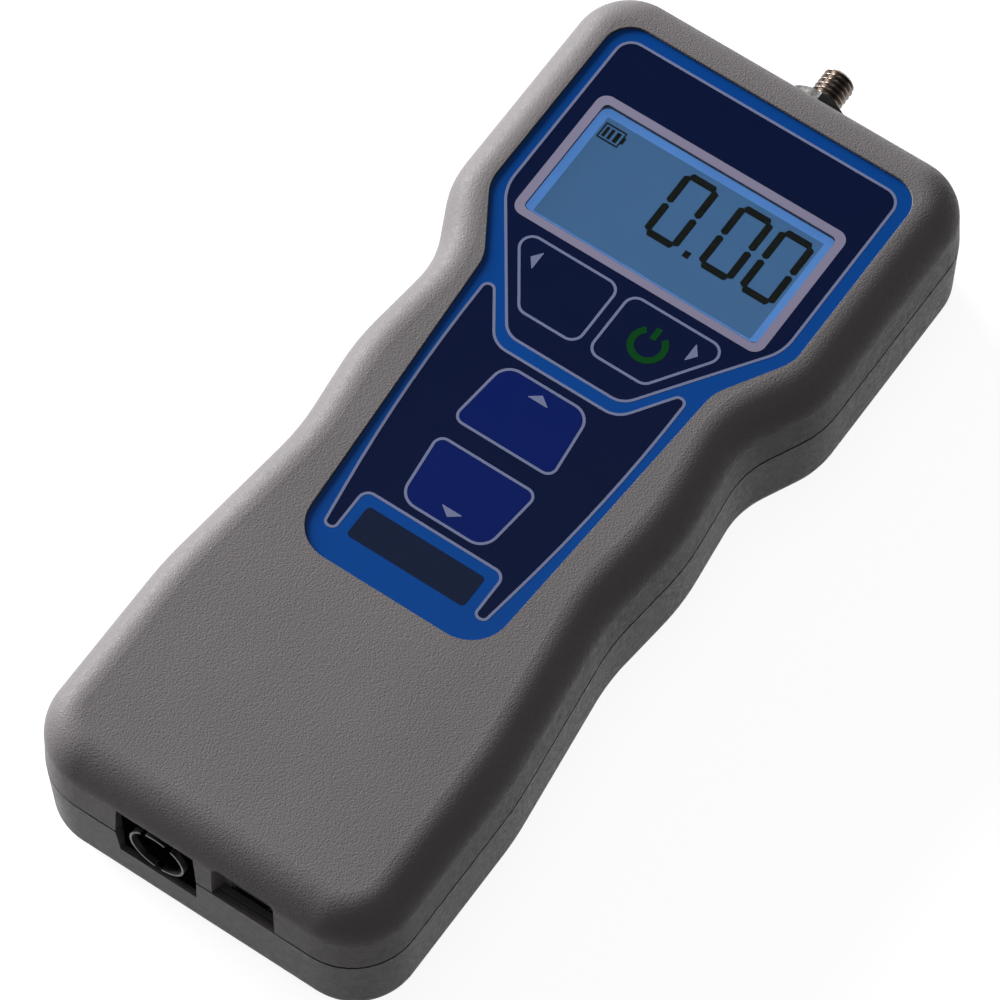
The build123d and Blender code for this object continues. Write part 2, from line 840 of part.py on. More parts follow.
# Aluminium chassis plate on the rear shell's posts, which carries the load cell
with BuildPart() as chassis_plate:
    with BuildSketch(Plane.XY.offset(plate_low_z)):
        with Locations((0, plate_y)):
            RectangleRounded(plate_width, plate_length, plate_corner_radius)
        with Locations(plate_screw_places):
            Circle(plate_screw_radius + hole_play, mode=Mode.SUBTRACT)
        with Locations(cell_screw_places):
            Circle(cell_screw_radius + screw_play, mode=Mode.SUBTRACT)
    extrude(amount=plate_thickness)

chassis_plate.part.label = "chassis_plate"
export_step(chassis_plate.part, "parts/chassis_plate.step")

with BuildPart() as chassis_screws:
    with BuildSketch(Plane.XY.offset(plate_top_z)):
        with Locations(plate_screw_places):
            Circle(plate_screw_head_radius)
    extrude(amount=plate_screw_head_height)
    with BuildSketch(Plane.XY.offset(plate_top_z)):
        with Locations(plate_screw_places):
            Circle(plate_screw_radius)
    extrude(amount=-plate_screw_length)

chassis_screws.part.label = "chassis_screws"
export_step(chassis_screws.part, "parts/chassis_screws.step")

# S-shaped load cell: foot on the plate, free end round the shaft's stud
with BuildPart() as load_cell:
    with BuildSketch(Plane.XY.offset(cell_low_z)):
        with Locations((0, cell_y)):
            Rectangle(cell_width, cell_length)
            Circle(cell_eye_radius, mode=Mode.SUBTRACT)
        for side in (-1, 1):
            with Locations((side * cell_slot_bridge / 2, cell_y + side * cell_slot_offset)):
                Rectangle(cell_width, cell_slot, mode=Mode.SUBTRACT)
    extrude(amount=cell_thickness)
    with BuildSketch(Plane.XY.offset(cell_low_z)):
        with Locations((0, cell_foot_y)):
            Rectangle(cell_width, 2 * cell_foot_length)
    extrude(amount=plate_top_z - cell_low_z, mode=Mode.SUBTRACT)
    with Locations([(x, y, cell_top_z) for x, y in cell_screw_places]):
        CounterBoreHole(
            cell_screw_radius + hole_play,
            cell_screw_head_radius + hole_play,
            cell_screw_head_height + hole_play,
            cell_thickness,
        )
    with Locations(Plane((0, cell_end_y, shaft_z), z_dir=(0, 1, 0))):
        Hole(shaft_pitch_radius + thread_play, shaft_stud_length + plate_gap)

load_cell.part.label = "load_cell"
export_step(load_cell.part, "parts/load_cell.step")

cell_screw_seat_z = cell_top_z - cell_screw_head_height - hole_play

with BuildPart() as load_cell_screws:
    with BuildSketch(Plane.XY.offset(cell_screw_seat_z)):
        with Locations(cell_screw_places):
            Circle(cell_screw_head_radius)
    extrude(amount=cell_screw_head_height)
    with BuildSketch(Plane.XY.offset(plate_low_z)):
        with Locations(cell_screw_places):
            Circle(cell_screw_radius)
    extrude(amount=cell_screw_seat_z - plate_low_z)

load_cell_screws.part.label = "load_cell_screws"
export_step(load_cell_screws.part, "parts/load_cell_screws.step")

# Foil strain gauges beside the load cell's eye
with BuildPart() as strain_gauges:
    with BuildSketch(Plane.XY.offset(cell_top_z)):
        with Locations((0, cell_y)):
            with GridLocations(gauge_pitch_x, gauge_pitch_y, 2, 2):
                Rectangle(gauge_length, gauge_width)
    extrude(amount=gauge_thickness)

strain_gauges.part.label = "strain_gauges"
export_step(strain_gauges.part, "parts/strain_gauges.step")

# Measuring shaft: stud in the load cell, collar through the case, threaded end outside.
# Where a thread is screwed in, the shaft has the thread's pitch radius.
collar_end_y = end_y + collar_reach
shaft_end_y = end_y + shaft_reach
open_thread_y = collar_end_y + nut_thickness + shaft_open_gap

with BuildPart() as measuring_shaft:
    with BuildSketch(Plane.XY.offset(shaft_z)):
        with BuildLine():
            Polyline(
                (0, cell_end_y - shaft_stud_length),
                (shaft_pitch_radius, cell_end_y - shaft_stud_length),
                (shaft_pitch_radius, cell_end_y + collar_gap),
                (shaft_collar_radius, cell_end_y + collar_gap),
                (shaft_collar_radius, collar_end_y),
                (shaft_pitch_radius, collar_end_y),
                (shaft_pitch_radius, open_thread_y),
                (shaft_thread_radius, open_thread_y),
                (shaft_thread_radius, shaft_end_y - shaft_tip_chamfer),
                (shaft_thread_radius - shaft_tip_chamfer, shaft_end_y),
                (0, shaft_end_y),
                close=True,
            )
        make_face()
    revolve(axis=shaft_axis)

measuring_shaft.part.label = "measuring_shaft"
export_step(measuring_shaft.part, "parts/measuring_shaft.step")

# Hexagon nut against the collar, its corners turned off by a cone at both faces
nut_end_y = collar_end_y + nut_thickness
nut_cone_radius = nut_across_flats / 2 / cos(radians(30)) + nut_corner_margin
nut_cone_depth = (nut_cone_radius - nut_face_radius) * tan(radians(nut_chamfer_angle))

with BuildPart() as shaft_nut:
    with BuildSketch(Plane.XZ.offset(-collar_end_y)):
        with Locations((0, shaft_z)):
            RegularPolygon(nut_across_flats / 2, 6, major_radius=False, rotation=nut_turn)
            Circle(shaft_pitch_radius + thread_play, mode=Mode.SUBTRACT)
    extrude(amount=-nut_thickness)
    with BuildSketch(Plane.XY.offset(shaft_z)):
        with BuildLine():
            Polyline(
                (0, collar_end_y),
                (nut_face_radius, collar_end_y),
                (nut_cone_radius, collar_end_y + nut_cone_depth),
                (nut_cone_radius, nut_end_y - nut_cone_depth),
                (nut_face_radius, nut_end_y),
                (0, nut_end_y),
                close=True,
            )
        make_face()
    revolve(axis=shaft_axis, mode=Mode.INTERSECT)

shaft_nut.part.label = "shaft_nut"
export_step(shaft_nut.part, "parts/shaft_nut.step")

# Flat battery pack with a narrower cap at the end with its leads, in a tray on the floor
battery_y = -end_y + battery_end_gap + battery_length / 2
battery_z = wall + cradle_floor + battery_thickness / 2

with BuildPart() as battery_pack:
    with BuildSketch(Plane.XZ.offset(-(battery_y - battery_length / 2))):
        with Locations((0, battery_z)):
            RectangleRounded(battery_width, battery_thickness, battery_radius)
    extrude(amount=-(battery_length - battery_cap_length))
    with BuildSketch(Plane.XZ.offset(-(battery_y + battery_length / 2 - battery_cap_length))):
        with Locations((0, battery_z)):
            RectangleRounded(
                battery_width - 2 * battery_cap_inset,
                battery_thickness - 2 * battery_cap_inset,
                battery_radius - battery_cap_inset,
            )
    extrude(amount=-battery_cap_length)

battery_pack.part.label = "battery_pack"
export_step(battery_pack.part, "parts/battery_pack.step")

with BuildPart() as battery_cradle:
    with BuildSketch(Plane.XY.offset(wall)):
        with Locations((0, battery_y)):
            Rectangle(
                battery_width + 2 * (cradle_clearance + cradle_wall),
                battery_length + 2 * (cradle_clearance + cradle_wall),
            )
    extrude(amount=cradle_height)
    with BuildSketch(Plane.XY.offset(wall + cradle_floor)):
        with Locations((0, battery_y)):
            Rectangle(
                battery_width + 2 * cradle_clearance,
                battery_length + 2 * cradle_clearance,
            )
    extrude(amount=cradle_height, mode=Mode.SUBTRACT)

battery_cradle.part.label = "battery_cradle"
export_step(battery_cradle.part, "parts/battery_cradle.step")

# Serial socket: square body with a round groove for the plug's shield and holes in its core
serial_plane = Plane.XZ.offset(-serial_face_y)

with BuildPart() as serial_body:
    with BuildSketch(serial_plane):
        with Locations((serial_x, serial_z)):
            Rectangle(serial_body_width, serial_body_height)
    extrude(amount=-serial_body_depth)
    with BuildSketch(serial_plane):
        with Locations((serial_x, serial_z)):
            Circle(socket_outer_radius)
            Circle(socket_core_radius, mode=Mode.SUBTRACT)
    extrude(amount=-socket_depth, mode=Mode.SUBTRACT)
    with BuildSketch(serial_plane):
        with Locations(contact_places):
            Circle(contact_radius + contact_clearance)
    extrude(amount=-contact_depth, mode=Mode.SUBTRACT)

serial_body.part.label = "serial_socket_body"
export_step(serial_body.part, "parts/serial_socket_body.step")

with BuildPart() as serial_shield:
    with BuildSketch(serial_plane.offset(shell_stand)):
        with Locations((serial_x, serial_z)):
            Circle(shell_radius)
            Circle(shell_radius - shell_thickness, mode=Mode.SUBTRACT)
    extrude(amount=-(shell_stand + socket_depth))
    with BuildSketch(serial_plane.offset(shell_stand)):
        with Locations((serial_x, serial_z)):
            for angle in shell_notch_angles:
                with PolarLocations(shell_radius, 1, start_angle=angle):
                    Rectangle(4 * shell_thickness, shell_notch_width)
    extrude(amount=-shell_notch_depth, mode=Mode.SUBTRACT)

serial_shield.part.label = "serial_socket_shield"
export_step(serial_shield.part, "parts/serial_socket_shield.step")

with BuildPart() as serial_contacts:
    with BuildSketch(serial_plane.offset(-contact_setback)):
        with Locations(contact_places):
            Circle(contact_radius)
    extrude(amount=-(contact_depth - contact_setback))

serial_contacts.part.label = "serial_socket_contacts"
export_step(serial_contacts.part, "parts/serial_socket_contacts.step")

# Small USB socket: folded metal shell standing on the board, and its tongue
usb_plane = Plane.XZ.offset(-usb_face_y)


def usb_outline(inset):
    """Front view of the shell, its lower corners cut off, drawn inset from the outside."""
    half = usb_width / 2 - inset
    low = board_z + inset
    high = board_z + usb_height - inset
    cut = usb_chamfer - inset / 2
    Polygon(
        (usb_x - half, high),
        (usb_x - half, low + cut),
        (usb_x - half + cut, low),
        (usb_x + half - cut, low),
        (usb_x + half, low + cut),
        (usb_x + half, high),
        align=None,
    )


with BuildPart() as usb_shell:
    with BuildSketch(usb_plane):
        usb_outline(0)
    extrude(amount=-usb_depth)
    with BuildSketch(usb_plane):
        usb_outline(usb_wall)
    extrude(amount=-(usb_depth - usb_wall), mode=Mode.SUBTRACT)

usb_shell.part.label = "usb_socket_shell"
export_step(usb_shell.part, "parts/usb_socket_shell.step")

with BuildPart() as usb_tongue:
    with BuildSketch(usb_plane.offset(-usb_tongue_setback)):
        with Locations((usb_x, board_z + usb_height / 2)):
            Rectangle(usb_tongue_width, usb_tongue_thickness)
    extrude(amount=-(usb_depth - usb_wall - usb_tongue_setback))

usb_tongue.part.label = "usb_socket_tongue"
export_step(usb_tongue.part, "parts/usb_socket_tongue.step")
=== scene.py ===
import math

import bmesh
import bpy
from mathutils import Matrix, Vector
from mathutils.geometry import delaunay_2d_cdt


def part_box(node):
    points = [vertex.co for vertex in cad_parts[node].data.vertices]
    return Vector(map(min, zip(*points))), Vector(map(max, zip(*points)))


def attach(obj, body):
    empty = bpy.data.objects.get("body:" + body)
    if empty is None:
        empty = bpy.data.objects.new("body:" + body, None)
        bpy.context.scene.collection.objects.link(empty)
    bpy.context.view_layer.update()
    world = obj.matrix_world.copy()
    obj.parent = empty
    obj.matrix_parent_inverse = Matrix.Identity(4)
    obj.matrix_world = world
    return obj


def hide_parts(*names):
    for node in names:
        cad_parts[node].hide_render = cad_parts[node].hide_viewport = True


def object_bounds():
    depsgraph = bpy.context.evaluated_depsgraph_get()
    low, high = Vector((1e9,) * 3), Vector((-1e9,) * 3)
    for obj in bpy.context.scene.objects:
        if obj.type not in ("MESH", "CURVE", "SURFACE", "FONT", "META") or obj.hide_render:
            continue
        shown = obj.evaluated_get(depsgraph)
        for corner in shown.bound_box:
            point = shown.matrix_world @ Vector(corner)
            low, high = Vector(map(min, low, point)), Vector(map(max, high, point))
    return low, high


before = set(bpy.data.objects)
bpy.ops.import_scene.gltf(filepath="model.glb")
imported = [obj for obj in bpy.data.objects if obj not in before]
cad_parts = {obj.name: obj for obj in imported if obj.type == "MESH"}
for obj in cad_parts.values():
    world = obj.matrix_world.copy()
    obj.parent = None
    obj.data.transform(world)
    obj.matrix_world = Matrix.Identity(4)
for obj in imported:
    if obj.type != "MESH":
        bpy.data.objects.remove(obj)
cad_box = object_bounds()

# Lengths are in millimetres in the CAD frame. The camera, the floor and the lamps are in metres.
MM = 0.001
X, Y, Z = 0, 1, 2


def box_of(node):
    """The lowest and highest corners of a CAD node in millimetres."""
    return [tuple(round(part / MM, 4) for part in corner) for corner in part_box(node)]


film_low, film_high = box_of("keypad_overlay")
shaft_low, shaft_high = box_of("measuring_shaft")
nut_low, nut_high = box_of("shaft_nut")
parting_z = box_of("rear_case")[1][Z]
display_top = box_of("lcd_glass")[1][Z]


# Outlines: closed loops of (x, y) points, drawn from corners
def rounded(corners, steps=8):
    """A closed loop through (x, y, radius) corners, each rounded by an arc of that many steps."""
    loop = []
    count = len(corners)
    for index, (x, y, radius) in enumerate(corners):
        here = Vector((x, y))
        if radius == 0:
            loop.append((x, y))
            continue
        back = (Vector(corners[index - 1][:2]) - here).normalized()
        ahead = (Vector(corners[(index + 1) % count][:2]) - here).normalized()
        half = back.angle(ahead) / 2
        centre = here + (back + ahead).normalized() * (radius / math.sin(half))
        start = here + back * (radius / math.tan(half)) - centre
        end = here + ahead * (radius / math.tan(half)) - centre
        first = math.atan2(start.y, start.x)
        turn = (math.atan2(end.y, end.x) - first + math.pi) % (2 * math.pi) - math.pi
        for step in range(steps + 1):
            angle = first + turn * step / steps
            loop.append((centre.x + radius * math.cos(angle), centre.y + radius * math.sin(angle)))
    return loop


def both_sides(right_corners):
    """The corners of the right half, foot first, followed by their mirror images."""
    left_corners = [(-x, y, radius) for x, y, radius in reversed(right_corners)]
    return right_corners + left_corners


def mirrored(loop):
    """The loop on the other side of the centre line, still anticlockwise."""
    return [(-x, y) for x, y in reversed(loop)]


def grown(loop, amount):
    """The loop moved outward by amount. The loop runs anticlockwise."""
    moved = []
    count = len(loop)
    for index in range(count):
        here = Vector(loop[index])
        into = here - Vector(loop[index - 1])
        out = Vector(loop[(index + 1) % count]) - here
        into.normalize()
        out.normalize()
        normal = Vector((into.y + out.y, -into.x - out.x)) / 2
        moved.append(tuple(here + normal * (amount / normal.length_squared)))
    return moved


def box_loop(left, right, foot, top, radius):
    """A rectangle with rounded corners."""
    corners = [(left, foot, radius), (right, foot, radius), (right, top, radius), (left, top, radius)]
    return rounded(corners)


# Meshes and pieces
def finished_mesh(name, shape):
    mesh = bpy.data.meshes.new(name)
    shape.to_mesh(mesh)
    shape.free()
    return mesh


def bridge(shape, ring, following):
    """A closed band of faces between two rings with equally many vertices."""
    for index in range(len(ring)):
        after = (index + 1) % len(ring)
        shape.faces.new((ring[index], ring[after], following[after], following[index]))


def add_piece(name, mesh, look, body, smooth=False):
    """A piece of the scene with one material, riding on a CAD body."""
    piece = bpy.data.objects.new(name, mesh)
    bpy.context.scene.collection.objects.link(piece)
    mesh.materials.clear()
    mesh.materials.append(look)
    for face in mesh.polygons:
        face.use_smooth = smooth
    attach(piece, body)
    return piece


MERGE_DISTANCE = 1e-6


def inside(spot, loops):
    """Whether the spot lies inside an odd number of the loops."""
    crossings = 0
    for loop in loops:
        for (x1, y1), (x2, y2) in zip(loop, loop[1:] + loop[:1]):
            if (y1 > spot.y) != (y2 > spot.y):
                if spot.x < x1 + (spot.y - y1) * (x2 - x1) / (y2 - y1):
                    crossings += 1
    return crossings % 2 == 1


def print_piece(name, loops, low, thickness, look, body):
    """A thin raised print with the given loops as its edges: an inner loop is a hole."""
    points = []
    edges = []
    for loop in loops:
        first = len(points)
        count = len(loop)
        points += [Vector(point) for point in loop]
        edges += [(first + index, first + (index + 1) % count) for index in range(count)]
    spots, _, triangles, *_ = delaunay_2d_cdt(points, edges, [], 0, MERGE_DISTANCE)
    shape = bmesh.new()
    verts = [shape.verts.new((spot.x, spot.y, low)) for spot in spots]
    for triangle in triangles:
        middle = sum((spots[index] for index in triangle), Vector((0, 0))) / len(triangle)
        if inside(middle, loops):
            shape.faces.new([verts[index] for index in triangle])
    raised = bmesh.ops.extrude_face_region(shape, geom=shape.faces[:])["geom"]
    upper = [part for part in raised if isinstance(part, bmesh.types.BMVert)]
    bmesh.ops.translate(shape, vec=(0, 0, thickness), verts=upper)
    bmesh.ops.scale(shape, vec=(MM, MM, MM), verts=shape.verts)
    bmesh.ops.recalc_face_normals(shape, faces=shape.faces)
    return add_piece(name, finished_mesh(name, shape), look, body)


# Materials: the scale of a noise or of cells is their number per metre
def start_material(name, colour, rough, metal=0.0, gloss=0.5):
    look = bpy.data.materials.new(name)
    look.use_nodes = True
    shader = look.node_tree.nodes["Principled BSDF"]
    shader.inputs["Base Color"].default_value = (*colour, 1)
    shader.inputs["Roughness"].default_value = rough
    shader.inputs["Metallic"].default_value = metal
    shader.inputs["Specular IOR Level"].default_value = gloss
    return look, look.node_tree, shader


def add_noise(tree, scale, detail=3.0, stretch=(1, 1, 1)):
    place = tree.nodes.new("ShaderNodeTexCoord")
    fit = tree.nodes.new("ShaderNodeMapping")
    fit.inputs["Scale"].default_value = stretch
    noise = tree.nodes.new("ShaderNodeTexNoise")
    noise.inputs["Scale"].default_value = scale
    noise.inputs["Detail"].default_value = detail
    tree.links.new(place.outputs["Object"], fit.inputs["Vector"])
    tree.links.new(fit.outputs["Vector"], noise.inputs["Vector"])
    return noise.outputs["Fac"]


def scaled(colour, share):
    return [part * share for part in colour]


def add_ramp(tree, source, first, last, start=0.0, end=1.0):
    """The colour that runs from first to last while the source runs from start to end."""
    ramp = tree.nodes.new("ShaderNodeValToRGB")
    low, high = ramp.color_ramp.elements
    low.position = start
    high.position = end
    low.color = (*first, 1)
    high.color = (*last, 1)
    tree.links.new(source, ramp.inputs["Fac"])
    return ramp.outputs["Color"]


# Nearly all of a noise lies between these two values.
NOISE_LOW = 0.3
NOISE_HIGH = 0.7


def vary_colour(tree, shader, source, colour, spread):
    """The base colour wanders around the given one by the given share."""
    dark = scaled(colour, 1 - spread)
    pale = scaled(colour, 1 + spread)
    wander = add_ramp(tree, source, dark, pale, NOISE_LOW, NOISE_HIGH)
    tree.links.new(wander, shader.inputs["Base Color"])


def vary_roughness(tree, shader, source, rough, spread):
    """The roughness wanders around the given one by the given amount."""
    fit = tree.nodes.new("ShaderNodeMapRange")
    fit.inputs["From Min"].default_value = NOISE_LOW
    fit.inputs["From Max"].default_value = NOISE_HIGH
    fit.inputs["To Min"].default_value = rough - spread
    fit.inputs["To Max"].default_value = rough + spread
    tree.links.new(source, fit.inputs["Value"])
    tree.links.new(fit.outputs["Result"], shader.inputs["Roughness"])


def add_bump(tree, source, depth, socket):
    """A relief of the given height in millimetres, seen in the normal that the socket takes."""
    bump = tree.nodes.new("ShaderNodeBump")
    bump.inputs["Distance"].default_value = depth * MM
    tree.links.new(source, bump.inputs["Height"])
    tree.links.new(bump.outputs["Normal"], socket)
    return bump


def plastic(name, colour, rough, grain=1500.0, depth=0.01, spread=0.06, gloss=0.5, sheen_spread=0.05):
    """Plastic with a relief of that grain and depth. Its colour and its sheen wander by the spreads."""
    look, tree, shader = start_material(name, colour, rough, gloss=gloss)
    vary_colour(tree, shader, add_noise(tree, scale=60.0), colour, spread)
    vary_roughness(tree, shader, add_noise(tree, scale=240.0), rough, sheen_spread)
    add_bump(tree, add_noise(tree, grain), depth, shader.inputs["Normal"])
    return look


def film_print(name, colour):
    """Ink under a fine matt film."""
    return plastic(
        name, colour, rough=0.3, grain=2600.0, depth=0.003, spread=0.02, gloss=0.1, sheen_spread=0.01
    )


def metal(name, colour, rough, stretch=(1, 1, 1)):
    """Metal with fine marks, drawn out across the direction in which the noise is stretched."""
    look, tree, shader = start_material(name, colour, rough, metal=1.0)
    vary_colour(tree, shader, add_noise(tree, scale=300.0, stretch=stretch), colour, spread=0.08)
    marks = add_noise(tree, scale=700.0, stretch=stretch)
    vary_roughness(tree, shader, marks, rough, spread=rough * 0.3)
    relief = add_noise(tree, scale=1800.0, stretch=stretch)
    add_bump(tree, relief, depth=0.004, socket=shader.inputs["Normal"])
    return look


CASING_GREY = (0.165, 0.153, 0.156)
CASING_ROUGHNESS = 0.46
GRAIN_CELLS_PER_METRE = 3200.0


def make_casing():
    """Moulded plastic with a fine pebble grain."""
    look, tree, shader = start_material("casing_plastic", CASING_GREY, CASING_ROUGHNESS, gloss=0.1)
    vary_colour(tree, shader, add_noise(tree, scale=45.0), CASING_GREY, spread=0.04)
    vary_roughness(tree, shader, add_noise(tree, scale=900.0), CASING_ROUGHNESS, spread=0.08)
    place = tree.nodes.new("ShaderNodeTexCoord")
    cells = tree.nodes.new("ShaderNodeTexVoronoi")
    cells.feature = "SMOOTH_F1"
    cells.inputs["Scale"].default_value = GRAIN_CELLS_PER_METRE
    cells.inputs["Smoothness"].default_value = 0.6
    tree.links.new(place.outputs["Object"], cells.inputs["Vector"])
    pebbles = add_bump(tree, cells.outputs["Distance"], depth=0.045, socket=shader.inputs["Normal"])
    pebbles.invert = True
    speckle = add_noise(tree, GRAIN_CELLS_PER_METRE, detail=1.0)
    add_bump(tree, speckle, depth=0.05, socket=pebbles.inputs["Normal"])
    return look


WINDOW_ROUGHNESS = 0.03


def make_clear():
    """Clear acrylic."""
    look, tree, shader = start_material("clear_window", (0.92, 0.96, 1.0), WINDOW_ROUGHNESS)
    shader.inputs["Transmission Weight"].default_value = 1.0
    shader.inputs["IOR"].default_value = 1.45
    vary_roughness(tree, shader, add_noise(tree, scale=120.0), WINDOW_ROUGHNESS, spread=0.015)
    return look


def glow(tree, shader, colour, strength):
    tree.links.new(colour, shader.inputs["Emission Color"])
    shader.inputs["Emission Strength"].default_value = strength


FIELD_BLUE = (0.056, 0.147, 0.305)
FIELD_ROUGHNESS = 0.35


def make_display():
    """Lit display field, a little paler towards one side."""
    look, tree, shader = start_material("display_field", (0.02, 0.05, 0.09), FIELD_ROUGHNESS, gloss=0.1)
    vary_roughness(tree, shader, add_noise(tree, scale=300.0), FIELD_ROUGHNESS, spread=0.05)
    place = tree.nodes.new("ShaderNodeTexCoord")
    slope = tree.nodes.new("ShaderNodeMapping")
    slope.inputs["Location"].default_value = (0.1, 0, 0)
    slope.inputs["Rotation"].default_value = (0, 0, 0.5)
    slope.inputs["Scale"].default_value = (16, 16, 16)
    gradient = tree.nodes.new("ShaderNodeTexGradient")
    tree.links.new(place.outputs["Object"], slope.inputs["Vector"])
    tree.links.new(slope.outputs["Vector"], gradient.inputs["Vector"])
    dark = scaled(FIELD_BLUE, 0.92)
    pale = scaled(FIELD_BLUE, 1.25)
    glow(tree, shader, add_ramp(tree, gradient.outputs["Fac"], dark, pale), strength=0.8)
    return look


EDGE_GLOW_BLUE = (0.068, 0.19, 0.47)


def make_glow():
    """Brighter light at the edges of the display."""
    look, tree, shader = start_material("display_glow", (0.05, 0.1, 0.2), rough=0.4, gloss=0.1)
    dark = scaled(EDGE_GLOW_BLUE, 0.85)
    pale = scaled(EDGE_GLOW_BLUE, 1.15)
    glow(tree, shader, add_ramp(tree, add_noise(tree, scale=90.0), dark, pale), strength=1.0)
    return look


INK_BLACK = (0.003, 0.005, 0.003)
INK_GREEN = (0.035, 0.062, 0.02)


def make_segment_ink():
    """Dark display segments with a fine regular dot pattern."""
    look, tree, shader = start_material("segment_ink", INK_BLACK, rough=0.5, gloss=0.02)
    place = tree.nodes.new("ShaderNodeTexCoord")
    dots = tree.nodes.new("ShaderNodeTexVoronoi")
    dots.inputs["Scale"].default_value = 3600.0
    dots.inputs["Randomness"].default_value = 0.0
    tree.links.new(place.outputs["Object"], dots.inputs["Vector"])
    dotted = add_ramp(tree, dots.outputs["Distance"], INK_GREEN, INK_BLACK, start=0.12, end=0.3)
    tree.links.new(dotted, shader.inputs["Base Color"])
    glow(tree, shader, dotted, strength=0.5)
    return look


# One look for each material slot of the record
looks = {
    "casing": make_casing(),
    "film": film_print("film_blue", (0.0008, 0.052, 0.255)),
    "key_film": film_print("key_navy", (0.0007, 0.0052, 0.034)),
    "window": make_clear(),
    "lcd_glass": make_display(),
    "light_guide": plastic("milky_plastic", (0.75, 0.8, 0.85), rough=0.3, grain=400.0),
    "white_plastic": plastic("white_plastic", (0.68, 0.68, 0.66), rough=0.4, grain=900.0, depth=0.02),
    "board": plastic(
        "solder_mask", (0.01, 0.12, 0.05), rough=0.28, grain=700.0, depth=0.02, spread=0.2
    ),
    "black_plastic": plastic(
        "black_plastic", (0.004, 0.0045, 0.0045), rough=0.45, grain=1200.0, spread=0.15, gloss=0.0
    ),
    "dark_button": plastic(
        "dark_button", (0.02, 0.02, 0.022), rough=0.35, grain=1500.0, depth=0.008, spread=0.1
    ),
    "zinc_screws": metal("zinc", (0.55, 0.54, 0.5), rough=0.32),
    "brass": metal("brass", (0.62, 0.45, 0.18), rough=0.3),
    "plate": metal("milled_aluminium", (0.72, 0.73, 0.74), rough=0.34, stretch=(1, 14, 1)),
    "cell": metal("anodised_aluminium", (0.6, 0.61, 0.63), rough=0.42, stretch=(1, 10, 1)),
    "foil": plastic(
        "polyimide_foil", (0.7, 0.4, 0.08), rough=0.25, grain=2000.0, depth=0.004, spread=0.15
    ),
    "shaft_steel": metal("shaft_steel", (0.2, 0.17, 0.15), rough=0.3, stretch=(1, 12, 1)),
    "nut_steel": metal("nut_nickel", (0.1, 0.098, 0.096), rough=0.7),
    "battery": plastic(
        "shrink_sleeve", (0.03, 0.18, 0.07), rough=0.24, grain=500.0, depth=0.03, spread=0.12
    ),
    "socket_metal": metal("socket_nickel", (0.12, 0.12, 0.12), rough=0.5),
    "contacts": metal("gilt_contacts", (0.72, 0.5, 0.18), rough=0.25),
}
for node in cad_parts.values():
    slot = node.material_slots[0]
    slot.material = looks[slot.material.name.split(".")[0]]

# Inks that only the prints have
navy_ink = film_print("panel_navy", (0.0007, 0.0052, 0.034))
key_ink = film_print("key_blue", (0.0004, 0.009, 0.105))
line_ink = film_print("line_lilac", (0.162, 0.184, 0.309))
band_ink = film_print("band_lilac", (0.22, 0.205, 0.3))
label_ink = film_print("label_slate", (0.006, 0.012, 0.036))
green_ink = film_print("power_green", (0.001, 0.05, 0.008))
glow_look = make_glow()
segment_ink = make_segment_ink()


# Front shell: the same mesh with the small ledge above the USB recess pressed into the rounding
# and its rim cut back to the width that the joint between the shells shows
PARTING_GAP = 0.3
PARTING_GAP_SHOWN = 0.55
RIM_Z = parting_z + PARTING_GAP
RIM_SHOWN_Z = parting_z + PARTING_GAP_SHOWN
LEDGE_Y = -83.5
LEDGE_TOP = 29.75
ROUNDING_Z = 29.356
ROUNDING_NORMAL = (0.0, -0.628, 0.778)
NEAR = 0.01
UPRIGHT = 0.9
SMALLEST_AREA = 1e-12


def area_normal(corners):
    """Half the cross product of two sides, added up over the face."""
    total = Vector((0, 0, 0))
    for second, third in zip(corners[1:], corners[2:]):
        total += (second - corners[0]).cross(third - corners[0]) / 2
    return total


def front_shell_mesh():
    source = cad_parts["front_case"].data
    spots = [vertex.co.copy() for vertex in source.vertices]
    pressed = set()
    for index, spot in enumerate(spots):
        if abs(spot.y / MM - LEDGE_Y) < NEAR and abs(spot.z / MM - LEDGE_TOP) < NEAR:
            spot.z = ROUNDING_Z * MM
            pressed.add(index)
        elif abs(spot.z / MM - RIM_Z) < NEAR:
            spot.z = RIM_SHOWN_Z * MM
    faces = []
    normals = []
    for face in source.polygons:
        if area_normal([spots[index] for index in face.vertices]).length < SMALLEST_AREA:
            continue
        faces.append(tuple(face.vertices))
        on_ledge = bool(pressed & set(face.vertices)) and face.normal.z > UPRIGHT
        for loop in face.loop_indices:
            kept = tuple(source.corner_normals[loop].vector)
            normals.append(ROUNDING_NORMAL if on_ledge else kept)
    mesh = bpy.data.meshes.new("front_shell")
    mesh.from_pydata(spots, [], faces)
    mesh.shade_smooth()
    mesh.normals_split_custom_set(normals)
    return mesh


front_shell = add_piece("front_shell", front_shell_mesh(), looks["casing"], "housing", smooth=True)
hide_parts("front_case")


# Rounded moulded edge of the recess that holds the film
film_outline = rounded(
    both_sides(
        [
            (18.6, film_low[Y], 7.0),
            (22.5, 27.3, 8.0),
            (film_high[X], 39.5, 8.0),
            (film_high[X], film_high[Y], 5.0),
        ]
    ),
    steps=12,
)
# Section of the edge: each point's distance outside the film and its height above the film
EDGE_SECTION = [(0.02, 0.0), (0.04, 0.22), (0.1, 0.38), (0.2, 0.47), (0.32, 0.49), (0.42, 0.48)]


def recess_edge_mesh():
    shape = bmesh.new()
    rings = []
    for distance, height in EDGE_SECTION:
        z = film_high[Z] + height
        loop = grown(film_outline, distance)
        rings.append([shape.verts.new((x * MM, y * MM, z * MM)) for x, y in loop])
    for ring, following in zip(rings, rings[1:] + rings[:1]):
        bridge(shape, ring, following)
    bmesh.ops.recalc_face_normals(shape, faces=shape.faces)
    return finished_mesh("recess_edge", shape)


